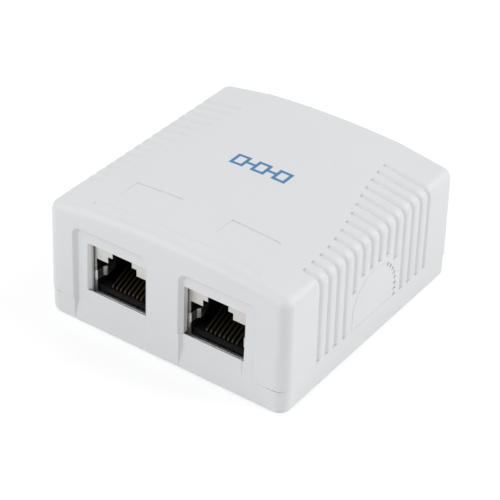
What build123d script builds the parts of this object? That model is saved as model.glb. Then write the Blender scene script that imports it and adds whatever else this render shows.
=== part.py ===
from build123d import *
import math
import os

os.makedirs("parts", exist_ok=True)

# Surface mount jack box with two shielded sockets
# Sizes in mm, +Z up, the sockets face -Y, origin at the middle of the base underside

# outside of the closed box
box_width = 58.0
box_depth = 61.0
box_height = 28.2
base_height = 5.2
corner_radius = 2.8
top_edge_radius = corner_radius - 0.4
draft_angle = 0.66

# the top: a low crown in the middle and a flat sloping shoulder on each side
crown_radius = 200.0
shoulder_step = 0.085
crease_rear_inset = 13.0
crease_front_inset = 7.0

# walls and fits
wall = 2.0
inner_corner_radius = 1.2
cover_clearance = 0.2
rim_inset = 0.15
slide_clearance = 0.1
pin_clearance = 0.1

# recess and aperture in front of each jack
jack_spacing = 23.2
jack_x = jack_spacing / 2
recess_depth = 0.8
recess_margin = 2.3
recess_shift = 1.4
recess_rise = 3.2
recess_foot = 0.6
recess_radius = 2.0
aperture_width = 14.0
aperture_height = 11.2
aperture_chamfer = 0.7

# tongue of the base that closes the cover below the jacks
tongue_height = 3.2
tongue_thickness = 2.0
tongue_edge = 0.2
tongue_bevel = 1.3
tongue_gap = 0.05

# shallow pockets for labels above the jacks
pocket_width = 11.5
pocket_rear = 14.6
pocket_length = 7.6
pocket_depth = 0.45

# shallow valley along the front edge of the top
valley_setback = 4.2
valley_end_gap = 2.0
valley_radius = 1.3
valley_depth = 0.15

# grip grooves that wrap from the shoulder down the side
groove_pitch = 3.0
groove_centre = 0.45
groove_depth = 0.5
groove_half_width = 0.95
groove_knee = 0.5
groove_knee_depth = 0.14
rib_rise = 0.04
groove_fade = 0.1
groove_bottom = 6.5
# how far each groove runs in from the side, front to rear
groove_reaches = (4.4, 4.5, 4.6, 4.9, 5.3, 5.9, 6.6,
                  7.4, 8.2, 9.1, 9.8, 10.4, 10.9, 11.2)

# breakaway knockout in each side wall for a cable
knockout_radius = 7.8
knockout_height = 9.6
knockout_flat = 6.8
web_thickness = 0.9
score_width = 0.25
score_depth = 0.05
slot_length = 0.9
slot_width = 0.38
slot_depth = 0.4
slot_pitch = 1.42
arch_gap = 1.8
arch_top_gap = 0.75

# base tray
floor_thickness = 2.0
base_edge_radius = 0.9
lip_thickness = 1.0
lip_height = 3.0
clip_width = 6.0
clip_height = 5.0
clip_nose = 0.3
clip_y = 20.0
clip_slit = 0.8

# two screws hold the base to the wall
wall_hole_radius = 2.2
wall_hole_spacing = 40.0
wall_hole_shift = 0.5
wall_boss_radius = 4.5
wall_boss_height = 1.2

# cable entries in the floor behind the board
entry_depth = 8.6
entry_boss_gap = 3.5
entry_side_gap = 4.8
entry_rear_gap = 0.5

# circuit board on three posts
board_thickness = 1.6
board_lift = 2.8
board_side_gap = 0.8
board_front_gap = 3.5
board_length = 43.0
board_corner = 1.0
access_hole_radius = 3.5
screw_edge = 2.8
middle_screw_gap = 3.5
post_radius = 2.7
screw_radius = 1.05
screw_head_radius = 2.1
screw_head_height = 1.4
screw_length = 4.9

# jacks
jack_setback = 2.4
jack_width = 16.0
jack_length = 21.3
jack_height = 13.4
sheet = 0.3
opening_width = 12.9
opening_top = 15.6
step_one_width = 7.1
step_one_top = 17.1
step_two_width = 4.8
step_two_top = 18.7
opening_bottom = 7.6
cavity_depth = 12.5
finger_bottom = 10.6
finger_height = 2.2
carrier_top = 8.2
carrier_block_top = 12.0
comb_top = 9.1
comb_thickness = 0.35
contact_pitch = 1.016
contact_size = 0.4
contact_hole_radius = 0.4
terminal_hole_radius = 0.55
tail_row_one = 14.5
tail_row_two = 17.0

# blocks that take the cable wires
idc_gap = 3.8
idc_width = 16.5
idc_depth = 12.6
idc_height = 12.0
idc_pitch = 3.9
idc_row_spacing = 7.2
wire_slot_width = 1.1
wire_slot_depth = 6.0
terminal_width = 2.8
terminal_thickness = 0.5

# clips that ground the cable shields
ground_clip_gap = 1.9
ground_clip_width = 7.0
ground_clip_depth = 4.0
ground_clip_height = 7.0

# positions worked out from the sizes above
front_y = -box_depth / 2
crease_rear = box_width / 2 - crease_rear_inset
crease_front = box_width / 2 - crease_front_inset
# each shoulder is steeper than the crown where they meet
shoulder_slope = crease_rear / crown_radius + shoulder_step
tongue_top = base_height + tongue_height
tongue_half_width = jack_x + aperture_width / 2 - slide_clearance
recess_top = tongue_top + aperture_height + recess_rise
recess_width = aperture_width + 2 * recess_margin
inner_half_width = box_width / 2 - wall
inner_half_depth = box_depth / 2 - wall
lip_half_width = inner_half_width - cover_clearance
lip_half_depth = inner_half_depth - cover_clearance
lip_radius = inner_corner_radius
tray_half_width = lip_half_width - lip_thickness
tray_half_depth = lip_half_depth - lip_thickness
lean = math.tan(math.radians(draft_angle))
board_bottom = floor_thickness + board_lift
board_top = board_bottom + board_thickness
board_front = front_y + board_front_gap
board_rear = board_front + board_length
board_half_width = tray_half_width - board_side_gap
jack_face = front_y + jack_setback
jack_rear = jack_face + jack_length
jack_top = board_top + jack_height
idc_front = jack_rear + idc_gap
idc_middle = idc_front + idc_depth / 2
idc_top = board_top + idc_height
clip_y_ground = idc_front + idc_depth + ground_clip_gap + ground_clip_depth / 2
wall_hole_ys = (wall_hole_shift - wall_hole_spacing / 2, wall_hole_shift + wall_hole_spacing / 2)
entry_near = wall_boss_radius + entry_boss_gap
entry_far = tray_half_width - entry_side_gap
# one screw between the jacks, two at the rear corners of the board
middle_screw_y = wall_hole_ys[0] + access_hole_radius + middle_screw_gap + post_radius
screw_places = [(0, middle_screw_y)] + [(side * (board_half_width - screw_edge), board_rear - screw_edge)
                                        for side in (-1, 1)]
contact_xs = [(i - 3.5) * contact_pitch for i in range(8)]
contact_tails = [jack_face + (tail_row_one if i % 2 == 0 else tail_row_two) for i in range(8)]
terminal_places = [((i - 1.5) * idc_pitch, idc_middle + row * idc_row_spacing / 2)
                   for row in (-1, 1) for i in range(4)]


# height of the crown's centre arc at a distance x from the middle
def crown_z(x):
    return box_height - crown_radius + math.sqrt(crown_radius ** 2 - x ** 2)


# plane of one sloping shoulder, moved inwards by the inset
def shoulder_plane(side, inset):
    rear = Vector(side * crease_rear, box_depth / 2, crown_z(crease_rear))
    front = Vector(side * crease_front, front_y, crown_z(crease_front))
    across = Vector(side, 0, -shoulder_slope)
    normal = across.cross(rear - front).normalized()
    if normal.Z < 0:
        normal = normal * -1
    return Plane(origin=rear - normal * inset, z_dir=normal)


# height of the shoulder at any place
def shoulder_z(x, y):
    place = shoulder_plane(1, 0)
    drop = (x - place.origin.X) * place.z_dir.X + (y - place.origin.Y) * place.z_dir.Y
    return place.origin.Z - drop / place.z_dir.Z


# the crowned box, used for the outside and the inside of the cover
def crowned_form(inset, edge_radius, corner):
    half = box_width / 2 + 2
    with BuildPart() as form:
        with BuildSketch(Plane.XY.offset(base_height)):
            RectangleRounded(box_width - 2 * inset, box_depth - 2 * inset, corner)
        extrude(amount=box_height, taper=draft_angle)
        with BuildSketch(Plane.XZ):
            with BuildLine():
                ThreePointArc((-half, crown_z(half) - inset), (0, box_height - inset),
                              (half, crown_z(half) - inset))
                Polyline((half, crown_z(half) - inset), (half, 0), (-half, 0),
                         (-half, crown_z(half) - inset))
            make_face()
        extrude(amount=box_depth, both=True, mode=Mode.INTERSECT)
        for side in (1, -1):
            split(bisect_by=shoulder_plane(side, inset), keep=Keep.BOTTOM)
        rim = [e for e in form.edges()
               if e.center().Z > (base_height + box_height) / 2 and e.bounding_box().size.Z < 4
               and (abs(e.center().Y) > box_depth / 2 - 5 or abs(e.center().X) > box_width / 2 - 5)]
        if edge_radius > 0:
            fillet(rim, edge_radius)
    return form.part


# outline of the knockout: a round top, upright sides and a flat bottom
def knockout_face(grow):
    radius = knockout_radius + grow
    with BuildSketch() as face:
        with Locations((groove_centre, knockout_height - base_height)):
            Circle(radius)
            Rectangle(2 * radius, 2 * radius, align=(Align.CENTER, Align.MAX))
        with Locations((groove_centre, knockout_flat - grow - base_height)):
            Rectangle(4 * radius, 4 * radius, align=(Align.CENTER, Align.MIN), mode=Mode.INTERSECT)
    return face.sketch


outer_form = crowned_form(0, top_edge_radius, corner_radius)
inner_form = crowned_form(wall, 0, inner_corner_radius)

# cutters for the right side: grooves, knockout score, perforations and thin web
side_face = Plane(origin=(box_width / 2, 0, base_height), x_dir=(0, 1, 0),
                  z_dir=(math.cos(math.radians(draft_angle)), 0,
                         math.sin(math.radians(draft_angle))))
# section of one groove: a soft V whose flanks roll over into the ribs
with BuildSketch() as groove_section:
    with BuildLine():
        Polyline((0, -groove_depth), (groove_knee, -groove_knee_depth), (groove_half_width, rib_rise),
                 (groove_half_width, 0.7), (-groove_half_width, 0.7), (-groove_half_width, rib_rise),
                 (-groove_knee, -groove_knee_depth), close=True)
    make_face()

with BuildPart() as groove_cuts:
    for i in range(len(groove_reaches)):
        y = groove_centre + (i - (len(groove_reaches) - 1) / 2) * groove_pitch
        reach = abs(y - groove_centre)
        arch = knockout_radius + arch_gap
        # grooves near the knockout stop on an arch above it
        if reach < arch:
            arch_top = knockout_height + knockout_radius + arch_top_gap
            low = min(knockout_height + math.sqrt(arch ** 2 - reach ** 2), arch_top)
        else:
            low = groove_bottom
        side_top = shoulder_z(box_width / 2, y)
        side_x = box_width / 2 - (side_top - base_height) * lean
        top_x = box_width / 2 - groove_reaches[i]
        with BuildLine() as path:
            FilletPolyline((box_width / 2 - (low - base_height) * lean, y, low),
                           (side_x, y, shoulder_z(side_x, y)),
                           (top_x, y, shoulder_z(top_x, y) + groove_fade), radius=top_edge_radius)
        with BuildSketch(Plane(origin=path.line @ 0, x_dir=(0, -1, 0), z_dir=path.line % 0)):
            add(groove_section.sketch)
        sweep(path=path.line)

# a faint score line, short slots on its rear side, and a thinned web behind
slot_places = [(knockout_radius, knockout_flat - knockout_height + k * slot_pitch, 0) for k in range(2)]
for k in range(6):
    turn = k * slot_pitch / knockout_radius
    slot_places.append((knockout_radius * math.cos(turn), knockout_radius * math.sin(turn),
                        math.degrees(turn)))
with BuildPart() as knockout_cuts:
    with BuildSketch(side_face.offset(0.1)):
        add(knockout_face(score_width / 2))
        add(knockout_face(-score_width / 2), mode=Mode.SUBTRACT)
    extrude(amount=-0.1 - score_depth)
    with BuildSketch(side_face.offset(0.1)):
        for along, up, turn in slot_places:
            with Locations(Location((groove_centre + along, knockout_height - base_height + up), turn)):
                Rectangle(slot_length, slot_width)
    extrude(amount=-0.1 - slot_depth)
    with BuildSketch(side_face.offset(-web_thickness)):
        add(knockout_face(0.4))
    extrude(amount=web_thickness - wall - 1)

with BuildPart() as cover:
    add(outer_form)
    add(inner_form, mode=Mode.SUBTRACT)
    # label pockets whose floors rise to meet the top towards the front
    with BuildSketch(Plane.XZ.offset(box_depth / 2 - pocket_rear)) as pocket_end:
        for side in (-1, 1):
            near = side * (jack_x - pocket_width / 2)
            away = side * (jack_x + pocket_width / 2)
            with BuildLine():
                ThreePointArc((near, crown_z(near) - pocket_depth),
                              (side * jack_x, crown_z(jack_x) - pocket_depth),
                              (away, crown_z(away) - pocket_depth))
                Polyline((away, crown_z(away) - pocket_depth), (away, box_height + 3),
                         (near, box_height + 3), (near, crown_z(near) - pocket_depth))
            make_face()
    extrude(amount=pocket_length + 2, dir=(0, -pocket_length, pocket_depth), mode=Mode.SUBTRACT)
    # valley along the front edge of the top
    valley_y = front_y + valley_setback
    valley_end = crease_front - valley_end_gap
    with BuildLine() as valley_line:
        ThreePointArc((-valley_end, valley_y, crown_z(valley_end) + valley_radius - valley_depth),
                      (0, valley_y, crown_z(0) + valley_radius - valley_depth),
                      (valley_end, valley_y, crown_z(valley_end) + valley_radius - valley_depth))
    with BuildSketch(Plane(origin=valley_line.line @ 0, z_dir=valley_line.line % 0)):
        Circle(valley_radius)
    sweep(path=valley_line.line, mode=Mode.SUBTRACT)
    # recess with sloped walls in front of each jack, open at the bottom
    front_face = Plane(origin=(0, front_y, base_height), x_dir=(1, 0, 0),
                       z_dir=(0, -math.cos(math.radians(draft_angle)),
                              math.sin(math.radians(draft_angle))))
    for side in (-1, 1):
        for depth, grow in ((-0.2, 0.2), (recess_depth, -recess_depth)):
            with BuildSketch(front_face.offset(-depth)):
                with Locations((side * (jack_x + recess_shift), (recess_top - base_height) / 2 - 4)):
                    RectangleRounded(recess_width + 2 * grow, recess_top - base_height + 8 + 2 * grow,
                                     recess_radius + grow)
        loft(mode=Mode.SUBTRACT)
        # aperture for the jack
        with Locations((side * jack_x, front_y + wall / 2, tongue_top + aperture_height / 2)):
            Box(aperture_width, wall + 2, aperture_height, mode=Mode.SUBTRACT)
        # chamfered outer edge beside the jack
        with BuildSketch(Plane.XY.offset(base_height - 1)):
            with Locations((side * (jack_x + aperture_width / 2), front_y + recess_depth)):
                Rectangle(aperture_chamfer * 2 ** 0.5, aperture_chamfer * 2 ** 0.5, rotation=45)
        extrude(amount=tongue_top + aperture_height - base_height + 1, mode=Mode.SUBTRACT)
    # the tongue of the base fills this cut below the jacks
    with Locations((0, front_y + wall / 2, (base_height + tongue_top + tongue_gap) / 2)):
        Box(2 * (tongue_half_width + slide_clearance), wall + 2,
            tongue_top + tongue_gap - base_height, mode=Mode.SUBTRACT)
    # side features on the right and mirrored on the left
    add(groove_cuts.part, mode=Mode.SUBTRACT)
    mirror(groove_cuts.part, about=Plane.YZ, mode=Mode.SUBTRACT)
    add(knockout_cuts.part, mode=Mode.SUBTRACT)
    mirror(knockout_cuts.part, about=Plane.YZ, mode=Mode.SUBTRACT)
    # channels inside that the base clips slide in
    with Locations([(side * inner_half_width, along * clip_y, base_height + clip_height / 2)
                    for side in (-1, 1) for along in (-1, 1)]):
        Box(2 * (cover_clearance + clip_nose), clip_width + 0.8, clip_height + 2, mode=Mode.SUBTRACT)
cover.part.label = "cover"
export_step(cover.part, "parts/cover.step")

# base tray with a lip inside the cover, a tongue at the front and four clips
with BuildPart() as base:
    with BuildSketch():
        RectangleRounded(box_width - 2 * rim_inset, box_depth - 2 * rim_inset,
                         corner_radius - rim_inset)
    extrude(amount=base_height)
    fillet(base.faces().sort_by(Axis.Z)[0].edges(), base_edge_radius)
    with BuildSketch(Plane.XY.offset(base_height - 1)):
        RectangleRounded(2 * lip_half_width, 2 * lip_half_depth, lip_radius)
    extrude(amount=lip_height + 1)
    with BuildSketch(Plane.XY.offset(floor_thickness)):
        Rectangle(2 * tray_half_width, 2 * tray_half_depth)
    extrude(amount=base_height + lip_height, mode=Mode.SUBTRACT)
    # the lip stops in front of the jacks and beside the knockouts
    with Locations((0, front_y, base_height + lip_height)):
        Box(2 * (jack_x + jack_width / 2 + 0.6), box_depth / 2, 2 * lip_height, mode=Mode.SUBTRACT)
    with Locations((0, groove_centre, base_height + lip_height)):
        Box(box_width, 2 * (knockout_radius + 1), 2 * lip_height, mode=Mode.SUBTRACT)
    # the tongue, its top bevelled away from the jacks
    tongue_front = front_y + rim_inset
    tongue_rear = tongue_front + tongue_thickness
    with BuildSketch(Plane.YZ):
        with BuildLine():
            Polyline((tongue_front, base_height - 1), (tongue_front, tongue_top),
                     (front_y + recess_depth + tongue_edge, tongue_top),
                     (tongue_rear, tongue_top - tongue_bevel), (tongue_rear, base_height - 1), close=True)
        make_face()
    extrude(amount=tongue_half_width, both=True)
    # the recess in front of each jack runs on down the base and fades out at its foot
    for side in (-1, 1):
        middle = side * (jack_x + recess_shift)
        with BuildPart(mode=Mode.PRIVATE) as recess_end:
            with BuildSketch(Plane.XY):
                with BuildLine():
                    Polyline((middle - recess_width / 2 - 1, front_y - 1),
                             (middle - recess_width / 2 + recess_depth, front_y + recess_depth),
                             (middle + recess_width / 2 - recess_depth, front_y + recess_depth),
                             (middle + recess_width / 2 + 1, front_y - 1), close=True)
                make_face()
            extrude(amount=tongue_top + 1)
            with BuildSketch(Plane.YZ):
                with BuildLine():
                    Polyline((front_y - 2, recess_foot), (tongue_front, recess_foot),
                             (front_y + recess_depth, base_height),
                             (front_y + recess_depth, tongue_top + 2), (front_y - 2, tongue_top + 2),
                             close=True)
                make_face()
            extrude(amount=box_width, both=True, mode=Mode.INTERSECT)
        add(recess_end.part, mode=Mode.SUBTRACT)
    # clips: raised fingers of the lip with a small nose, freed by a slit on each side
    for side in (-1, 1):
        for along in (-1, 1):
            with Locations((side * (lip_half_width - lip_thickness / 2), along * clip_y,
                            base_height + lip_height / 2 + 0.5)):
                Box(lip_thickness, clip_width + 2 * clip_slit, lip_height + 1, mode=Mode.SUBTRACT)
            with BuildSketch(Plane.XZ.offset(-along * clip_y)):
                nose_top = base_height + clip_height
                with BuildLine():
                    Polyline((side * (lip_half_width - lip_thickness), base_height - 1),
                             (side * (lip_half_width - lip_thickness), nose_top),
                             (side * (lip_half_width - 0.3), nose_top),
                             (side * (lip_half_width + clip_nose), nose_top - 0.9),
                             (side * (lip_half_width + clip_nose), nose_top - 1.3),
                             (side * lip_half_width, nose_top - 1.8),
                             (side * lip_half_width, base_height - 1), close=True)
                make_face()
            extrude(amount=clip_width / 2, both=True)
    # posts for the board screws
    with Locations([(x, y, floor_thickness) for x, y in screw_places]):
        Cylinder(post_radius, board_lift, align=(Align.CENTER, Align.CENTER, Align.MIN))
    with Locations([(x, y, board_bottom) for x, y in screw_places]):
        Hole(screw_radius + 0.02, depth=screw_length - board_thickness + 0.3)
    # low bosses and holes for the wall screws
    with Locations([(0, y, floor_thickness) for y in wall_hole_ys]):
        Cylinder(wall_boss_radius, wall_boss_height, align=(Align.CENTER, Align.CENTER, Align.MIN))
    with Locations([(0, y, floor_thickness + wall_boss_height) for y in wall_hole_ys]):
        Hole(wall_hole_radius)
    # cable entries through the floor
    with BuildSketch(Plane.XY.offset(-1)):
        with Locations([(side * (entry_near + entry_far) / 2,
                         tray_half_depth - entry_rear_gap - entry_depth / 2) for side in (-1, 1)]):
            RectangleRounded(entry_far - entry_near, entry_depth, 1.5)
    extrude(amount=floor_thickness + 2, mode=Mode.SUBTRACT)
base.part.label = "base"
export_step(base.part, "parts/base.step")

# circuit board
shield_pegs = [(side * (jack_width / 2 - sheet / 2), jack_face + along)
               for side in (-1, 1) for along in (4.0, 17.5)]
housing_pegs = [(side * (jack_width / 2 - sheet - 0.75), jack_face + 10.6) for side in (-1, 1)]
idc_pegs = [(side * (idc_width / 2 - 1.1), idc_middle) for side in (-1, 1)]
ground_tails = [(side * (ground_clip_width / 2 - 1), clip_y_ground) for side in (-1, 1)]
with BuildPart() as circuit_board:
    with BuildSketch(Plane.XY.offset(board_bottom)):
        with Locations((0, (board_front + board_rear) / 2)):
            RectangleRounded(2 * board_half_width, board_length, board_corner)
        with Locations((0, wall_hole_ys[0])):
            Circle(access_hole_radius, mode=Mode.SUBTRACT)
        with Locations(screw_places):
            Circle(screw_radius + 0.25, mode=Mode.SUBTRACT)
        for middle in (-jack_x, jack_x):
            with Locations([(middle + contact_xs[i], contact_tails[i]) for i in range(8)]):
                RegularPolygon(contact_hole_radius, 6, mode=Mode.SUBTRACT)
            with Locations([(middle + x, y) for x, y in terminal_places]):
                RegularPolygon(terminal_hole_radius, 6, mode=Mode.SUBTRACT)
            with Locations([(middle + x, y) for x, y in shield_pegs]):
                Rectangle(sheet + 2 * pin_clearance, 1.6 + 2 * pin_clearance, mode=Mode.SUBTRACT)
            with Locations([(middle + x, y) for x, y in housing_pegs]):
                Circle(0.6 + pin_clearance, mode=Mode.SUBTRACT)
            with Locations([(middle + x, y) for x, y in idc_pegs]):
                Circle(0.6 + pin_clearance, mode=Mode.SUBTRACT)
            with Locations([(middle + x, y) for x, y in ground_tails]):
                Rectangle(1.0 + 2 * pin_clearance, 0.4 + 2 * pin_clearance, mode=Mode.SUBTRACT)
    extrude(amount=board_thickness)
circuit_board.part.label = "circuit_board"
export_step(circuit_board.part, "parts/circuit_board.step")

# three pan head screws hold the board on the posts
with BuildPart() as board_screws:
    for x, y in screw_places:
        with Locations((x, y, board_top)):
            Cylinder(screw_head_radius, screw_head_height, align=(Align.CENTER, Align.CENTER, Align.MIN))
            Cylinder(screw_radius, screw_length, align=(Align.CENTER, Align.CENTER, Align.MAX))
    chamfer(board_screws.faces().filter_by(Axis.Z).group_by(Axis.Z)[-1].edges(), 0.5)
    with Locations([(x, y, board_top + screw_head_height) for x, y in screw_places]):
        Box(2.2, 0.5, 1.4, mode=Mode.SUBTRACT)
        Box(0.5, 2.2, 1.4, mode=Mode.SUBTRACT)
board_screws.part.label = "board_screws"
export_step(board_screws.part, "parts/board_screws.step")


# front outline of the socket: main opening with two steps for the plug latch
def socket_face(grow, bottom):
    with BuildSketch() as face:
        for width, top in ((opening_width, opening_top), (step_one_width, step_one_top),
                           (step_two_width, step_two_top)):
            with Locations((0, (bottom + top + grow) / 2)):
                Rectangle(width + 2 * grow, top + grow - bottom)
    return face.sketch


# a wire's corner points with each bend cut to a short chord
def bent_wire(points):
    bent = [points[0]]
    for before, here, after in zip(points, points[1:], points[2:]):
        for near in (before, after):
            length = math.dist(near, here)
            bent.append(tuple(here[k] + (near[k] - here[k]) * 0.4 / length for k in (0, 1)))
    return bent + [points[-1]]


for name, middle in (("left", -jack_x), ("right", jack_x)):
    face_plane = Plane(origin=(middle, jack_face, 0), x_dir=(1, 0, 0), z_dir=(0, -1, 0))

    # folded sheet shield, open underneath
    with BuildPart() as jack_shield:
        with Locations((middle, (jack_face + jack_rear) / 2, (board_top + jack_top) / 2)):
            Box(jack_width, jack_length, jack_height)
        with Locations((middle, (jack_face + jack_rear) / 2, (board_top + jack_top) / 2 - sheet)):
            Box(jack_width - 2 * sheet, jack_length - 2 * sheet, jack_height, mode=Mode.SUBTRACT)
        with BuildSketch(face_plane):
            add(socket_face(0, opening_bottom))
        extrude(amount=1, both=True, mode=Mode.SUBTRACT)
        # pegs through the board
        with Locations([(middle + x, y, board_top + 0.5) for x, y in shield_pegs]):
            Box(sheet, 1.6, board_thickness + 1.2, align=(Align.CENTER, Align.CENTER, Align.MAX))
        # spring fingers folded in from the front edge to touch the plug
        for side in (-1, 1):
            edge = middle + side * opening_width / 2
            with BuildSketch(Plane.XY.offset(finger_bottom)):
                with BuildLine():
                    Polyline((edge + side * 0.5, jack_face + 0.1), (edge + side * 0.5, jack_face - 0.1),
                             (edge + side * 0.35, jack_face - 0.25), (edge - side * 0.1, jack_face - 0.25),
                             (edge - side * 0.25, jack_face - 0.1), (edge - side * 0.3, jack_face + 1.7),
                             (edge - side * 0.8, jack_face + 2.3), (edge - side * 0.8, jack_face + 2.7),
                             (edge - side * 0.3, jack_face + 5.6), (edge - side * 0.05, jack_face + 5.6),
                             (edge - side * 0.5, jack_face + 2.7), (edge - side * 0.0, jack_face + 1.9),
                             (edge - side * 0.0, jack_face + 0.1), close=True)
                make_face()
            extrude(amount=finger_height)
    jack_shield.part.label = name + "_jack_shield"
    export_step(jack_shield.part, "parts/" + name + "_jack_shield.step")

    # plastic housing with the stepped socket and room for the contact carrier
    with BuildPart() as jack_housing:
        front = jack_face + sheet + 0.1
        rear = jack_rear - sheet - 0.1
        with Locations((middle, (front + rear) / 2, (board_top + jack_top - sheet - 0.1) / 2)):
            Box(jack_width - 2 * sheet - 0.2, rear - front, jack_top - sheet - 0.1 - board_top)
        with BuildSketch(face_plane):
            add(socket_face(0.02, board_top - 1))
        extrude(amount=-cavity_depth - sheet - 0.1, mode=Mode.SUBTRACT)
        with Locations((middle, rear, (board_top + carrier_block_top + 0.1) / 2)):
            Box(opening_width + 0.1, 2 * (rear - jack_face - cavity_depth - sheet) + 0.2,
                carrier_block_top + 0.1 - board_top, mode=Mode.SUBTRACT)
        # relief behind each spring finger
        with Locations([(middle + side * opening_width / 2, jack_face + 3.2,
                         finger_bottom + finger_height / 2) for side in (-1, 1)]):
            Box(0.5, 6.0, finger_height + 0.2, mode=Mode.SUBTRACT)
        with Locations([(middle + x, y, board_top) for x, y in housing_pegs]):
            Cylinder(0.6, board_thickness - 0.2, align=(Align.CENTER, Align.CENTER, Align.MAX))
    jack_housing.part.label = name + "_jack_housing"
    export_step(jack_housing.part, "parts/" + name + "_jack_housing.step")

    # carrier that holds the contact wires, with a slot underneath for each
    with BuildPart() as jack_carrier:
        slab_front = jack_face + 1.7
        block_front = jack_face + cavity_depth + sheet + 0.2
        block_rear = jack_rear - 1.2
        with Locations((middle, (slab_front + block_rear) / 2, (board_top + carrier_top) / 2)):
            Box(opening_width - 0.1, block_rear - slab_front, carrier_top - board_top)
        with Locations((middle, (block_front + block_rear) / 2, (board_top + carrier_block_top) / 2)):
            Box(opening_width - 0.1, block_rear - block_front, carrier_block_top - board_top)
        # a comb bar hides the front bends, held by a cheek at each end
        comb_front = slab_front - 1.05
        comb_half = opening_width / 2 - 0.05
        with Locations((middle, comb_front + comb_thickness / 2, (board_top + comb_top) / 2)):
            Box(2 * comb_half, comb_thickness, comb_top - board_top)
        cheek = comb_half - contact_xs[7] - contact_size
        with Locations([(middle + side * (comb_half - cheek / 2), (comb_front + slab_front + 1) / 2,
                         (board_top + comb_top) / 2) for side in (-1, 1)]):
            Box(cheek, slab_front + 1 - comb_front, comb_top - board_top)
        for i in range(8):
            slot_rear = contact_tails[i] + 0.35
            with Locations((middle + contact_xs[i], (slab_front + slot_rear) / 2 - 1, board_top)):
                Box(contact_size + 0.12, slot_rear - slab_front + 2, 2.4, mode=Mode.SUBTRACT)
    jack_carrier.part.label = name + "_contact_carrier"
    export_step(jack_carrier.part, "parts/" + name + "_contact_carrier.step")

    # eight bent contact wires
    for i in range(8):
        wire_points = bent_wire([(contact_tails[i], board_bottom - 1.4), (contact_tails[i], board_top + 0.9),
                                 (jack_face + 1.3, board_top + 0.9), (jack_face + 1.3, board_top + 2.7),
                                 (jack_face + 9.8, board_top + 6.2)])
        with BuildPart() as jack_contact:
            with BuildLine(Plane.YZ.offset(middle + contact_xs[i])) as wire:
                Polyline(*wire_points)
            with BuildSketch(Plane(origin=wire.line @ 0, x_dir=(1, 0, 0), z_dir=wire.line % 0)):
                Rectangle(contact_size, contact_size)
            sweep(path=wire.line, transition=Transition.RIGHT)
        label = name + "_jack_contact_" + str(i + 1)
        jack_contact.part.label = label
        export_step(jack_contact.part, "parts/" + label + ".step")

    # block with a slot for each cable wire
    with BuildPart() as idc_block:
        with Locations((middle, idc_middle, (board_top + idc_top) / 2)):
            Box(idc_width, idc_depth, idc_height)
        chamfer(idc_block.edges().filter_by(Axis.Z), 0.6)
        # trough between the two rows
        with Locations((middle, idc_middle, idc_top)):
            Box(idc_width + 1, 2.4, 2 * wire_slot_depth, mode=Mode.SUBTRACT)
        for i in range(4):
            x = middle + (i - 1.5) * idc_pitch
            with BuildSketch(Plane.XZ.offset(-idc_middle)):
                with BuildLine():
                    half = wire_slot_width / 2
                    Polyline((x - half, idc_top - wire_slot_depth), (x - half, idc_top - 1.1),
                             (x - half - 0.7, idc_top + 0.1), (x + half + 0.7, idc_top + 0.1),
                             (x + half, idc_top - 1.1), (x + half, idc_top - wire_slot_depth),
                             close=True)
                make_face()
            extrude(amount=idc_depth / 2 + 1, both=True, mode=Mode.SUBTRACT)
        # pockets and tail holes for the terminals
        with Locations([(middle + x, y, board_top + 1) for x, y in terminal_places]):
            Box(terminal_width + 0.2, terminal_thickness + 0.2, idc_height,
                align=(Align.CENTER, Align.CENTER, Align.MIN), mode=Mode.SUBTRACT)
            Box(0.8, 0.8, 4, mode=Mode.SUBTRACT)
        with Locations([(middle + x, y, board_top) for x, y in idc_pegs]):
            Cylinder(0.6, board_thickness - 0.2, align=(Align.CENTER, Align.CENTER, Align.MAX))
    idc_block.part.label = name + "_idc_block"
    export_step(idc_block.part, "parts/" + name + "_idc_block.step")

    # eight forked terminals
    for i in range(8):
        x = middle + terminal_places[i][0]
        y = terminal_places[i][1]
        bottom = board_top + 1.1
        top = idc_top - 1.4
        with BuildPart() as idc_terminal:
            with BuildSketch(Plane.XZ.offset(-y)):
                with Locations((x, (bottom + top) / 2)):
                    Rectangle(terminal_width, top - bottom)
                with Locations((x, (board_bottom - 1.0 + bottom) / 2 + 0.1)):
                    Rectangle(0.6, bottom - board_bottom + 1.0 + 0.2)
                with Locations((x, top)):
                    Rectangle(0.3, 8.0, mode=Mode.SUBTRACT)
                with BuildLine():
                    Polyline((x - 0.9, top), (x, top - 1.6), (x + 0.9, top), close=True)
                make_face(mode=Mode.SUBTRACT)
            extrude(amount=terminal_thickness / 2, both=True)
        label = name + "_idc_terminal_" + str(i + 1)
        idc_terminal.part.label = label
        export_step(idc_terminal.part, "parts/" + label + ".step")

    # spring clip that holds and grounds the cable shield
    with BuildPart() as ground_clip:
        reach = ground_clip_width / 2
        top = board_top + ground_clip_height
        with BuildSketch(Plane.XZ.offset(-clip_y_ground)):
            with BuildLine():
                Polyline((middle - reach, board_top), (middle + reach, board_top),
                         (middle + reach - 0.7, top - 1.6), (middle + reach, top),
                         (middle + reach - 0.4, top), (middle + reach - 1.1, top - 1.6),
                         (middle + reach - 0.5, board_top + 0.4), (middle - reach + 0.5, board_top + 0.4),
                         (middle - reach + 1.1, top - 1.6), (middle - reach + 0.4, top),
                         (middle - reach, top), (middle - reach + 0.7, top - 1.6), close=True)
            make_face()
        extrude(amount=ground_clip_depth / 2, both=True)
        with Locations([(middle + x, y, board_top + 0.2) for x, y in ground_tails]):
            Box(1.0, 0.4, board_thickness + 0.8, align=(Align.CENTER, Align.CENTER, Align.MAX))
    ground_clip.part.label = name + "_ground_clip"
    export_step(ground_clip.part, "parts/" + name + "_ground_clip.step")
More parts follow.
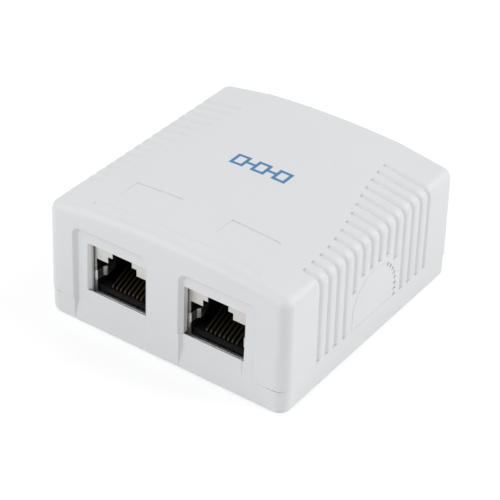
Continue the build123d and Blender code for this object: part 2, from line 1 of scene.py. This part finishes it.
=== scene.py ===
# %% [markdown]
# # Surface mount jack box
#
# A white box that joins two network cables to the wall. It stands on a white
# studio floor. The imported model gives every solid in metres, with +Z up, the
# two sockets facing -Y and +X on the right, the side that the picture shows.
# This script keeps those solids where they are and gives them their finish,
# and it adds the small things that a solid model leaves out.

# %% Load the model
import math

import bmesh
import bpy
from mathutils import Matrix, Vector


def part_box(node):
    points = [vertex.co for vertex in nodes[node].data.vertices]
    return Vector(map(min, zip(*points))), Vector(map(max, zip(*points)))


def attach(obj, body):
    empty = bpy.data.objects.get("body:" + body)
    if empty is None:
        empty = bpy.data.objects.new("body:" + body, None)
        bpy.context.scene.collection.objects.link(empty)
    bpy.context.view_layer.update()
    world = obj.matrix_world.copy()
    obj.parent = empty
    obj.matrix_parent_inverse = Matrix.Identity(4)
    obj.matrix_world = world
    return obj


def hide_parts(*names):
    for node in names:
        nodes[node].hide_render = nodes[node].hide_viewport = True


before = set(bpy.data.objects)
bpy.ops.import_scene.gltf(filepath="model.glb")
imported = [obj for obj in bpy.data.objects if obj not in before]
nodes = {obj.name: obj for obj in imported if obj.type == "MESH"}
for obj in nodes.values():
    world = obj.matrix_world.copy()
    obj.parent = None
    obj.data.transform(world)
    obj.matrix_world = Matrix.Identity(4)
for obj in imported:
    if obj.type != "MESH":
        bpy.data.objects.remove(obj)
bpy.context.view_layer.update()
scene = bpy.context.scene
mm = 0.001

# %% [markdown]
# ## Sizes that the new pieces share with the solids
#
# New pieces have to meet the solids. Their places could be typed in, but here
# they are read from the boxes round the solids, so they follow them. Only the
# crown is more than a box: across its width the top is an arc of 200 mm
# radius, so a small function gives its height at any x.

# %% Sizes
crown_radius = 200 * mm
cover_low, cover_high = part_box("cover")
board_low, board_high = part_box("circuit_board")
jack_low, jack_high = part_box("right_jack_housing")
jack_x = (jack_low.x + jack_high.x) / 2
front_y = cover_low.y
parting_z = cover_low.z


def crown_z(x):
    return cover_high.z - crown_radius + math.sqrt(crown_radius ** 2 - x ** 2)


print("jacks at x = %.1f mm, cover from z = %.1f to %.1f mm"
      % (jack_x / mm, cover_low.z / mm, cover_high.z / mm))

# %% [markdown]
# ## A start for every material
#
# Each finish starts as a Principled shader with one colour and one roughness,
# either metal or not. Object coordinates come with it, so that a pattern stays
# in place on its piece from every side. A picture texture could carry the
# pattern instead, but it would need a file and a UV map.

# %% A first material
def start_material(name, colour, roughness, metallic=0.0):
    material = bpy.data.materials.new(name)
    material.use_nodes = True
    tree = material.node_tree
    shader = tree.nodes["Principled BSDF"]
    shader.inputs["Base Color"].default_value = (*colour, 1)
    shader.inputs["Roughness"].default_value = roughness
    shader.inputs["Metallic"].default_value = metallic
    coords = tree.nodes.new("ShaderNodeTexCoord")
    return material, tree, shader, coords


# %% [markdown]
# ## Noise, for what differs from spot to spot
#
# Real surfaces are never quite even. A noise texture gives that from a few
# numbers: the scale says how fine it is, and the Mapping node can stretch it
# into lines. Its value rarely leaves a middle band, so whatever reads it below
# stretches that band to the full range.

# %% Noise
noise_low, noise_high = 0.3, 0.7


def noise(tree, coords, scale, detail, stretch=(1, 1, 1)):
    mapping = tree.nodes.new("ShaderNodeMapping")
    mapping.inputs["Scale"].default_value = stretch
    made = tree.nodes.new("ShaderNodeTexNoise")
    made.inputs["Scale"].default_value = scale
    made.inputs["Detail"].default_value = detail
    tree.links.new(coords.outputs["Object"], mapping.inputs["Vector"])
    tree.links.new(mapping.outputs["Vector"], made.inputs["Vector"])
    return made


print("noise is read from", noise_low, "to", noise_high)

# %% [markdown]
# ## Colour, gloss and grain
#
# A noise can drive three things. Through a colour ramp it shades the colour,
# through a Map Range node it varies the roughness, and as the height of a bump
# it gives a grain. Real displacement could give the grain too, but it would
# need millions of faces for something this fine.

# %% Colour, gloss and grain
def tint(tree, shader, source, colour, shade):
    ramp = tree.nodes.new("ShaderNodeValToRGB")
    ramp.color_ramp.elements[0].position = noise_low
    ramp.color_ramp.elements[1].position = noise_high
    ramp.color_ramp.elements[0].color = (*(c * shade for c in colour), 1)
    ramp.color_ramp.elements[1].color = (*colour, 1)
    tree.links.new(source.outputs["Fac"], ramp.inputs["Fac"])
    tree.links.new(ramp.outputs["Color"], shader.inputs["Base Color"])


def polish(tree, shader, source, smooth, rough):
    made = tree.nodes.new("ShaderNodeMapRange")
    made.inputs["From Min"].default_value = noise_low
    made.inputs["From Max"].default_value = noise_high
    made.inputs["To Min"].default_value = smooth
    made.inputs["To Max"].default_value = rough
    tree.links.new(source.outputs["Fac"], made.inputs["Value"])
    tree.links.new(made.outputs["Result"], shader.inputs["Roughness"])


def grain(tree, shader, height, strength, distance):
    made = tree.nodes.new("ShaderNodeBump")
    made.inputs["Strength"].default_value = strength
    made.inputs["Distance"].default_value = distance
    tree.links.new(height, made.inputs["Height"])
    tree.links.new(made.outputs["Normal"], shader.inputs["Normal"])


# %% [markdown]
# ## Moulded plastic
#
# The mould of such a box is spark eroded, which leaves a fine satin grain on
# the plastic. Colour in it is even, apart from a faint cloudiness. So the broad
# noise moves the tone by only a percent or two, and the fine one is a bump of
# a hundredth of a millimetre that also varies the gloss. The black of the
# sockets is dull, so its shine is turned down on the shader itself.

# %% Moulded plastic
cloud_scale, cloud_detail = 60, 3
spark_detail = 2
spark_strength, spark_depth = 0.25, 0.01 * mm
spark_smoother, spark_rougher = 0.04, 0.06
socket_shine = 0.22


def moulded_plastic(name, colour, shade, roughness, grain_scale):
    material, tree, shader, coords = start_material(name, colour, roughness)
    clouds = noise(tree, coords, cloud_scale, cloud_detail)
    spark_marks = noise(tree, coords, grain_scale, spark_detail)
    tint(tree, shader, clouds, colour, shade)
    polish(tree, shader, spark_marks, roughness - spark_smoother, roughness + spark_rougher)
    grain(tree, shader, spark_marks.outputs["Fac"], spark_strength, spark_depth)
    print("plastic", name, "roughness", roughness)
    return material


white_abs = moulded_plastic("white_abs", (0.66, 0.67, 0.68), 0.985, 0.42, 9000)
socket_black = moulded_plastic("black_socket_plastic", (0.005, 0.005, 0.0055), 0.8, 0.5, 6000)
socket_shader = socket_black.node_tree.nodes["Principled BSDF"]
socket_shader.inputs["Specular IOR Level"].default_value = socket_shine
block_plastic = moulded_plastic("pale_block_plastic", (0.6, 0.59, 0.56), 0.97, 0.45, 6000)
blue_print = moulded_plastic("blue_print", (0.05, 0.2, 0.4), 0.9, 0.5, 5000)
speck_grey = moulded_plastic("moulding_speck", (0.42, 0.43, 0.43), 0.85, 0.5, 5000)

# %% [markdown]
# ## Rolled, plated metal
#
# Sheet steel keeps fine lines from the rolls, and its tin or zinc is a little
# blotchy. The line noise is stretched along one axis: it varies the roughness,
# so that reflections smear along the rolling direction, as anisotropy would,
# and it is the bump as well. The gold of the contacts is only a flash over
# nickel, and it sits deep in a black socket. Its colour is painted dark: that
# darkness is painted shade, for the shade that the socket casts on it.

# %% Rolled metal
line_scale, line_detail = 900, 3
line_strength, line_depth = 0.12, 0.015 * mm
line_smoother, line_rougher = 0.06, 0.08
blotch_scale, blotch_detail = 300, 2
blotch_shade = 0.88


def rolled_metal(name, colour, roughness, stretch):
    material, tree, shader, coords = start_material(name, colour, roughness, 1.0)
    lines = noise(tree, coords, line_scale, line_detail, stretch)
    blotches = noise(tree, coords, blotch_scale, blotch_detail)
    tint(tree, shader, blotches, colour, blotch_shade)
    polish(tree, shader, lines, roughness - line_smoother, roughness + line_rougher)
    grain(tree, shader, lines.outputs["Fac"], line_strength, line_depth)
    print("metal", name, "roughness", roughness)
    return material


tinned_sheet = rolled_metal("tinned_sheet", (0.6, 0.59, 0.56), 0.4, (1, 0.05, 1))
zinc_plate = rolled_metal("zinc_plate", (0.6, 0.6, 0.62), 0.3, (1, 1, 0.2))
tin_plate = rolled_metal("tin_plate", (0.68, 0.68, 0.66), 0.32, (1, 1, 0.1))
# The contacts' gold is dark by painted shade: its colour is darkened for the shade deep in the
# socket, not because the gold is dark.
gold_in_painted_shade = rolled_metal("gold_in_painted_shade", (0.045, 0.036, 0.022), 0.6, (1, 0.1, 1))
solder = rolled_metal("solder", (0.6, 0.61, 0.62), 0.24, (1, 1, 1))

# %% [markdown]
# ## Green solder mask
#
# The board is woven glass in resin under a thin green lacquer, and the weave
# shows through as a faint cloth pattern. Two wave textures, one along X and
# one along Y, add up to that cloth and drive a bump. A checker texture could
# stand in for them, but its edges are hard where threads are round. Over a
# copper track the same lacquer looks lighter.

# %% Solder mask
lacquer_scale, lacquer_detail = 220, 3
lacquer_shade = 0.8
thread_scale, thread_wander = 700, 0.6
cloth_strength, cloth_depth = 0.12, 0.02 * mm


def solder_mask(name, colour, roughness):
    material, tree, shader, coords = start_material(name, colour, roughness)
    tint(tree, shader, noise(tree, coords, lacquer_scale, lacquer_detail), colour, lacquer_shade)
    cloth = tree.nodes.new("ShaderNodeMath")
    for count, direction in enumerate("XY"):
        thread = tree.nodes.new("ShaderNodeTexWave")
        thread.bands_direction = direction
        thread.inputs["Scale"].default_value = thread_scale
        thread.inputs["Distortion"].default_value = thread_wander
        tree.links.new(coords.outputs["Object"], thread.inputs["Vector"])
        tree.links.new(thread.outputs["Fac"], cloth.inputs[count])
    grain(tree, shader, cloth.outputs["Value"], cloth_strength, cloth_depth)
    print("lacquer", name, "roughness", roughness)
    return material


board_green = solder_mask("green_solder_mask", (0.012, 0.16, 0.05), 0.28)
track_green = solder_mask("green_over_copper", (0.03, 0.26, 0.08), 0.26)

# %% [markdown]
# ## Finishes for the solids that stay
#
# A solid whose shape is right keeps its mesh. It only gets a material, which
# is picked here by the words in its name. A line for each of them would do
# too, but most are eight alike. The cover, the base and the screws aren't in
# the list: they get smooth skins further on.

# %% Dress the solids
finish_for = {
    "jack_shield": tinned_sheet,
    "ground_clip": tinned_sheet,
    "jack_housing": socket_black,
    "contact_carrier": socket_black,
    # the contacts get the gold whose dark colour is painted shade
    "jack_contact": gold_in_painted_shade,
    "idc_terminal": tin_plate,
    "idc_block": block_plastic,
    "circuit_board": board_green,
}
dressed = 0
for name, piece in nodes.items():
    for word, material in finish_for.items():
        if word in name:
            piece.data.materials.clear()
            piece.data.materials.append(material)
            dressed += 1
print("dressed", dressed, "of", len(nodes), "solids")

# %% [markdown]
# ## Smooth skins for the moulded pieces
#
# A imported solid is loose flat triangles, so its rounded edges would show as
# facets. A copy with its corners joined can be shaded smoothly. Edges that
# turn by more than the crisp angle stay sharp, and weighted normals keep the
# large flat faces flat beside the small round ones. The copy takes the place
# of its solid in the picture.

# %% Skin helpers
weld_distance = 0.002 * mm
sliver_length = 0.001 * mm


def joined_copy(source):
    shape = bmesh.new()
    shape.from_mesh(nodes[source].data)
    bmesh.ops.remove_doubles(shape, verts=shape.verts, dist=weld_distance)
    bmesh.ops.dissolve_degenerate(shape, edges=shape.edges, dist=sliver_length)
    return shape


def add_skin(shape, source, name, body, material, crisp):
    for face in shape.faces:
        face.smooth = True
    for edge in shape.edges:
        if len(edge.link_faces) == 2:
            edge.smooth = edge.calc_face_angle(0) < math.radians(crisp)
    mesh = bpy.data.meshes.new(name)
    shape.to_mesh(mesh)
    shape.free()
    mesh.materials.append(material)
    piece = bpy.data.objects.new(name, mesh)
    scene.collection.objects.link(piece)
    even = piece.modifiers.new("even_normals", "WEIGHTED_NORMAL")
    even.mode = "FACE_AREA"
    even.keep_sharp = True
    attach(piece, body)
    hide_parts(source)
    print(name, "has", len(mesh.polygons), "faces")


print("points closer than %.3f mm are joined" % (weld_distance / mm))

# %% [markdown]
# ## The parting line round the front corners
#
# Cover and base meet in a hair line. It shows as a dark line only round the
# front corners, where the rim of the cover is a little eased, and it fades
# along the front and the side. One way would be a painted line. Here a cut is
# made just above the rim, and the rim's corner points are pushed in, most at
# the front and nothing at the side, so light and shadow draw the line.

# %% Cover skin
corner_radius = 2.8 * mm
rim_ease = 0.3 * mm
rim_push = 0.3 * mm
rim_flatness = 0.02 * mm
corner_slack = 0.05 * mm
outer_band = 0.25 * mm
cut_tolerance = 0.0005 * mm


def cut_level(shape, height):
    everything = shape.verts[:] + shape.edges[:] + shape.faces[:]
    bmesh.ops.bisect_plane(shape, geom=everything, dist=cut_tolerance,
                           plane_co=(0, 0, height), plane_no=(0, 0, 1))


cover_shape = joined_copy("cover")
cut_level(cover_shape, parting_z + rim_ease)
eased = 0
for side in (-1, 1):
    centre_x = side * (cover_high.x - corner_radius)
    centre_y = front_y + corner_radius
    for vert in cover_shape.verts:
        out_x = (vert.co.x - centre_x) * side
        out_y = centre_y - vert.co.y
        reach = math.hypot(out_x, out_y)
        on_rim = abs(vert.co.z - parting_z) < rim_flatness
        on_corner = out_x > -corner_slack and out_y > 0
        if on_rim and on_corner and reach > corner_radius - outer_band:
            push = rim_push * out_y / reach
            vert.co.x -= side * push * out_x / reach
            vert.co.y += push * out_y / reach
            eased += 1
print("eased", eased, "points of the cover's rim")

# %% [markdown]
# ## Chamfers that stop at the tongue
#
# Each aperture has a chamfer on its outer side. Beside the tongue of the base
# it would leave an open channel that the real moulding doesn't have. So it
# runs out at the tongue's top, and the right hand one, whose edge is crisp in
# the picture, is narrower. The edges could be bevelled anew. Moving the outer
# points of the chamfers sideways does it too, and it leaves the rest alone.

# %% Close the chamfers beside the tongue
tongue_top = 8.4 * mm
half_aperture = 7.0 * mm
chamfer_cut = 0.7 * mm
right_chamfer_cut = 0.3 * mm
channel_cut = -0.06 * mm
run_out = 0.1 * mm
edge_band = 0.12 * mm
chamfer_depth = 1.2 * mm
chamfer_height = 11.5 * mm
aperture_side = jack_x + half_aperture
for height in (tongue_top, tongue_top - run_out):
    cut_level(cover_shape, height)
narrowed = 0
for side, cut_above in ((-1, chamfer_cut), (1, right_chamfer_cut)):
    for vert in cover_shape.verts:
        beside = abs(side * vert.co.x - (aperture_side + chamfer_cut)) < edge_band
        at_front = vert.co.y < front_y + chamfer_depth
        if beside and at_front and vert.co.z < tongue_top + chamfer_height:
            kept = cut_above if vert.co.z > tongue_top - run_out / 2 else channel_cut
            vert.co.x = side * (aperture_side + kept)
            narrowed += 1
print("narrowed", narrowed, "points of the chamfers")

# %% [markdown]
# ## Shallow label pockets
#
# Above each jack a label pocket slopes down to a low step at its rear. On the
# real box the step is only a faint line. A bump could draw it, but it would
# have no shadow. So the pocket stays a shape, and its floor is raised to a
# share of its depth.

# %% Raise the pocket floors
pocket_rear_y = front_y + 14.6 * mm
pocket_front_y = pocket_rear_y - 7.6 * mm
pocket_slack = 0.1 * mm
half_pocket = 6.0 * mm
floor_shallow, floor_deep = 0.02 * mm, 0.6 * mm
depth_kept = 0.28
raised = 0
for vert in cover_shape.verts:
    in_length = pocket_front_y - pocket_slack < vert.co.y < pocket_rear_y + pocket_slack
    in_width = abs(abs(vert.co.x) - jack_x) < half_pocket
    depth = crown_z(vert.co.x) - vert.co.z
    if in_length and in_width and floor_shallow < depth < floor_deep:
        vert.co.z += depth * (1 - depth_kept)
        raised += 1
print("raised", raised, "points of the pockets")
crisp_plastic = 32
add_skin(cover_shape, "cover", "cover_skin", "cover_body", white_abs,
         crisp_plastic)

# %% [markdown]
# ## The base and the screws
#
# The base is the same moulding as the cover, so it gets the same smooth skin
# and the same plastic. The screws only need smooth heads. New ones could be
# modelled, but the solids have the right shape, so both use the same helpers.

# %% Base and screw skins
crisp_metal = 35
add_skin(joined_copy("base"), "base", "base_skin", "base_body", white_abs,
         crisp_plastic)
add_skin(joined_copy("board_screws"), "board_screws", "board_screws_skin", "base_body",
         zinc_plate, crisp_metal)

# %% [markdown]
# ## One helper for the added pieces
#
# Each added piece is a bmesh that becomes an object at the origin, with its
# place in its mesh, as the solids have theirs. It rides on a body, so it moves
# when the cover is lifted. The same lines could follow every piece, but one
# helper keeps them alike.

# %% New piece
def new_piece(name, shape, body, material, smooth=False):
    for face in shape.faces:
        face.smooth = smooth
    mesh = bpy.data.meshes.new(name)
    shape.to_mesh(mesh)
    shape.free()
    mesh.materials.append(material)
    piece = bpy.data.objects.new(name, mesh)
    scene.collection.objects.link(piece)
    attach(piece, body)
    print(name, "has", len(mesh.polygons), "faces")


# %% [markdown]
# ## Hems on the shields
#
# A shield is thin sheet, and along the lower edge of its opening the sheet is
# rolled over, so that a plug doesn't scrape on a cut edge. The roll catches the
# light as a thin bright line under the black socket. A curve with a round
# profile could make it. A cone operator with equal radii needs no conversion:
# it is a rod, and a bevel rounds its ends.

# %% Shield hems
hem_radius = 0.11 * mm
hem_length = 12.9 * mm
hem_top = 7.62 * mm
hem_segments = 16
hem_rounding = 0.04 * mm
side_faces = 4
for side, name in ((-1, "left"), (1, "right")):
    hem = bmesh.new()
    shield_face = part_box("%s_jack_shield" % name)[0].y
    place = Matrix.Translation((side * jack_x, shield_face, hem_top - hem_radius))
    along_x = Matrix.Rotation(math.pi / 2, 4, "Y")
    bmesh.ops.create_cone(hem, cap_ends=True, segments=hem_segments, radius1=hem_radius,
                          radius2=hem_radius, depth=hem_length, matrix=place @ along_x)
    ends = [edge for edge in hem.edges if len(edge.link_faces) == 2
            and max(len(face.verts) for face in edge.link_faces) > side_faces]
    bmesh.ops.bevel(hem, geom=ends, offset=hem_rounding, segments=2, profile=0.5,
                    affect="EDGES", material=-1)
    new_piece("%s_shield_hem" % name, hem, "base_body", tinned_sheet, True)

# %% [markdown]
# ## Copper tracks
#
# Under the lacquer each socket contact is joined to a terminal by a flat copper
# track with 45 degree bends. Every straight run is a unit cube that is scaled,
# turned and moved into place, which is shorter than working out corners.

# %% Tracks
track_width = 0.32 * mm
track_height = 0.03 * mm


def track_run(shape, start, end):
    start, end = Vector(start), Vector(end)
    way = end - start
    middle = (start + end) / 2
    turned = Matrix.Rotation(math.atan2(way.y, way.x), 4, "Z")
    size = Matrix.Diagonal((way.length + track_width, track_width, track_height, 1))
    place = Matrix.Translation((middle.x, middle.y, board_high.z))
    bmesh.ops.create_cube(shape, size=1, matrix=place @ turned @ size)


def middle_of(name):
    low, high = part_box(name)
    return (low + high) / 2


contact_numbers = range(1, 9)
middle_contact = (len(contact_numbers) - 1) / 2
tail_inset = 0.2 * mm
first_bend = 4.0 * mm
bend_step = 0.5 * mm
tracks = bmesh.new()
pin_places = []
for side in ("left", "right"):
    contacts = ["%s_jack_contact_%d" % (side, i) for i in contact_numbers]
    terminals = ["%s_idc_terminal_%d" % (side, i) for i in contact_numbers]
    tails = [(middle_of(name).x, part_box(name)[1].y - tail_inset) for name in contacts]
    ends = sorted(tuple(middle_of(name).xy) for name in terminals)
    for i, (tail, end) in enumerate(zip(tails, ends)):
        bend = tail[1] + first_bend + abs(i - middle_contact) * bend_step
        drop = abs(end[0] - tail[0])
        corners = [tail, (tail[0], bend), (end[0], bend + drop), end]
        for start, stop in zip(corners, corners[1:]):
            track_run(tracks, start, stop)
    pin_places += tails + ends
new_piece("board_tracks", tracks, "base_body", track_green)
print("joined", len(pin_places) // 2, "contacts to their terminals")

# %% [markdown]
# ## Pads and solder
#
# Each pin stands in a tinned ring on top of the board, and below the board the
# solder has drawn up round it in a small cone. Spheres would be too round for
# either. Both are cone operators: a very flat one for the ring, a steep one
# for the solder.

# %% Pads and solder
pad_radius = 0.72 * mm
pad_height = 0.04 * mm
solder_tip = 0.28 * mm
solder_foot = 0.75 * mm
cone_height = 0.8 * mm
pin_segments = 20
pads = bmesh.new()
cones = bmesh.new()
for x, y in pin_places:
    bmesh.ops.create_cone(pads, cap_ends=True, segments=pin_segments, radius1=pad_radius,
                          radius2=pad_radius - pad_height / 2, depth=pad_height,
                          matrix=Matrix.Translation((x, y, board_high.z)))
    below = Matrix.Translation((x, y, board_low.z - cone_height / 2))
    bmesh.ops.create_cone(cones, cap_ends=True, segments=pin_segments, radius1=solder_tip,
                          radius2=solder_foot, depth=cone_height, matrix=below)
new_piece("board_pads", pads, "base_body", solder)
new_piece("solder_cones", cones, "base_body", solder, True)

# %% [markdown]
# ## Print on the top
#
# A plain blue mark is printed on the top: three open squares joined by short
# dashes, like sockets on a line. It could be a colour pattern in the plastic,
# but its edges stay crisper as a thin mesh. A square starts as one grid face,
# and an inset leaves a frame when its middle is deleted. The print lies a hair
# above the crown and follows it.

# %% Printed mark
stroke = 0.72 * mm
square_width = 3.3 * mm
square_height = 3.8 * mm
square_pitch = 5.1 * mm
print_middle = Vector((-0.3 * mm, 2.5 * mm, 0))
print_lift = 0.012 * mm
unit_square = 0.5  # the grid operator's size is half of the width


def flat_patch(shape, x, width, height):
    place = Matrix.Translation(print_middle + Vector((x, 0, 0)))
    place = place @ Matrix.Diagonal((width, height, 1, 1))
    made = bmesh.ops.create_grid(shape, x_segments=1, y_segments=1, size=unit_square,
                                 matrix=place)
    return [face for face in shape.faces if made["verts"][0] in face.verts]


marks = bmesh.new()
for i in (-1, 0, 1):
    square = flat_patch(marks, i * square_pitch, square_width, square_height)
    bmesh.ops.inset_region(marks, faces=square, thickness=stroke, use_boundary=True,
                           use_even_offset=True)
    bmesh.ops.delete(marks, geom=square, context="FACES")
for i in (-0.5, 0.5):
    flat_patch(marks, i * square_pitch, square_pitch - square_width, stroke)
for vert in marks.verts:
    vert.co.z = crown_z(vert.co.x) + print_lift
new_piece("printed_mark", marks, "cover_body", blue_print)

# %% [markdown]
# ## Specks
#
# Moulded plastic has a stray dark speck here and there, and two are on the
# top. A noise could scatter them, but these have known places, so each is a
# tiny circle with a few corners, set on the surface.

# %% Specks
speck_corners = 7
speck_lift = 0.01 * mm
speck_places = ((10.4, 12.7, 0.14), (-11.7, 21.9, 0.12))
specks = bmesh.new()
for x, y, radius in speck_places:
    place = Matrix.Translation((x * mm, y * mm, crown_z(x * mm) + speck_lift))
    bmesh.ops.create_circle(specks, cap_ends=True, segments=speck_corners,
                            radius=radius * mm, matrix=place)
new_piece("top_specks", specks, "cover_body", speck_grey)

# %% [markdown]
# ## Camera
#
# The place of the camera comes from matching the edges of the box: 34 degrees
# to the right, 35 degrees up, a slight roll and a long lens. Its matrix is put
# together from three directions, which gives the roll exactly. A Track To
# constraint would be easier, but it can't roll.

# %% Camera
camera_turn, camera_rise, camera_roll = (math.radians(a) for a in (34.322, 34.923, 1.895))
camera_distance = 381.86 * mm
focal_pixels, picture_pixels = 1903.33, 500
look_at = Vector((3.01, -5.44, 14.0)) * mm
back = Vector((math.sin(camera_turn) * math.cos(camera_rise),
               -math.cos(camera_turn) * math.cos(camera_rise), math.sin(camera_rise)))
level = (-back).cross(Vector((0, 0, 1))).normalized()
rise = level.cross(-back)
to_right = level * math.cos(camera_roll) + rise * math.sin(camera_roll)
to_top = rise * math.cos(camera_roll) - level * math.sin(camera_roll)
camera = bpy.data.objects.new("camera", bpy.data.cameras.new("camera"))
camera.matrix_world = (Matrix.Translation(look_at + back * camera_distance)
                       @ Matrix((to_right, to_top, back)).transposed().to_4x4())
camera.data.sensor_width = 36
camera.data.lens = camera.data.sensor_width * focal_pixels / picture_pixels
camera.data.clip_start = 0.01
scene.collection.objects.link(camera)
scene.camera = camera
print("camera lens %.1f mm at %.0f mm" % (camera.data.lens, camera_distance / mm))

# %% [markdown]
# ## A background that looks white without more light
#
# The floor and the sky light the box at a plain level, at which white plastic
# stays clear of pure white. To the eye of the camera, and in reflections, both
# may be brighter. The Light Path node tells those rays from the rays that carry
# light, and it only lifts what they see.

# %% Rays that are seen
def seen_rays(tree):
    path = tree.nodes.new("ShaderNodeLightPath")
    seen = path.outputs["Is Camera Ray"]
    for other in ("Is Glossy Ray", "Is Transmission Ray"):
        either = tree.nodes.new("ShaderNodeMath")
        either.operation = "MAXIMUM"
        tree.links.new(seen, either.inputs[0])
        tree.links.new(path.outputs[other], either.inputs[1])
        seen = either.outputs["Value"]
    return seen


def lifted(tree, low, high, socket):
    made = tree.nodes.new("ShaderNodeMapRange")
    made.inputs["To Min"].default_value = low
    made.inputs["To Max"].default_value = high
    tree.links.new(seen_rays(tree), made.inputs["Value"])
    tree.links.new(made.outputs["Result"], socket)


# %% [markdown]
# ## The floor
#
# The box stands on a sheet of matt white paper that has no edge in the
# picture. A curved backdrop is the studio's way. Seen from above, a flat grid
# does as well, three metres wide. It is a little less white than the picture's
# ground, so a weak glow, which only seen rays get, makes up the rest and
# leaves the shadow.

# %% Floor
floor_half_width = 1.5
floor_colour = (0.95, 0.95, 0.95)
floor_roughness = 0.9
floor_lift = 0.17
floor_shape = bmesh.new()
bmesh.ops.create_grid(floor_shape, x_segments=2, y_segments=2, size=floor_half_width)
floor_mesh = bpy.data.meshes.new("floor")
floor_shape.to_mesh(floor_mesh)
floor_shape.free()
floor = bpy.data.objects.new("floor", floor_mesh)
scene.collection.objects.link(floor)
floor_white, floor_tree, floor_shader, _ = start_material("studio_white", floor_colour,
                                                          floor_roughness)
floor_shader.inputs["Emission Color"].default_value = (1, 1, 1, 1)
lifted(floor_tree, 0, floor_lift, floor_shader.inputs["Emission Strength"])
floor_mesh.materials.append(floor_white)
print("floor seen brighter by", floor_lift)

# %% [markdown]
# ## Light
#
# The picture has almost shadowless light with a slight pull from the front
# left and the rear right. A studio picture of surroundings could give both,
# but it would need a file. A white sky gives the even part, and two large
# square softboxes, 0.7 m wide and 0.9 m away, give the rest.

# %% Sky and softboxes
sky_light = 0.538
softbox_width = 0.7
softbox_distance = 0.9
world = bpy.data.worlds.new("studio")
world.use_nodes = True
sky = world.node_tree.nodes["Background"]
sky.inputs["Color"].default_value = (1, 1, 1, 1)
lifted(world.node_tree, sky_light, 1.0, sky.inputs["Strength"])
scene.world = world


def softbox(name, turn, height, power):
    data = bpy.data.lights.new(name, "AREA")
    data.shape = "SQUARE"
    data.size = softbox_width
    data.energy = power
    made = bpy.data.objects.new(name, data)
    a, e = math.radians(turn), math.radians(height)
    way = Vector((math.sin(a) * math.cos(e), -math.cos(a) * math.cos(e), math.sin(e)))
    facing = way.to_track_quat("Z", "Y").to_matrix().to_4x4()
    made.matrix_world = Matrix.Translation(way * softbox_distance) @ facing
    scene.collection.objects.link(made)
    print(name, power, "W")


softbox("front_left_softbox", -40, 40, 3.94)
softbox("rear_right_softbox", 128, 35, 4.64)

# %% [markdown]
# ## Colours as they are written
#
# Blender's usual view softens bright colours as film does, which would turn a
# white box grey. The Standard view shows each colour as it is written.

# %% View
scene.view_settings.view_transform = "Standard"
print("view is", scene.view_settings.view_transform)

# %% [markdown]
# ## The end
#
# The print lies a hundredth of a millimetre above the crown.

# %% Finish
print("scene set up")
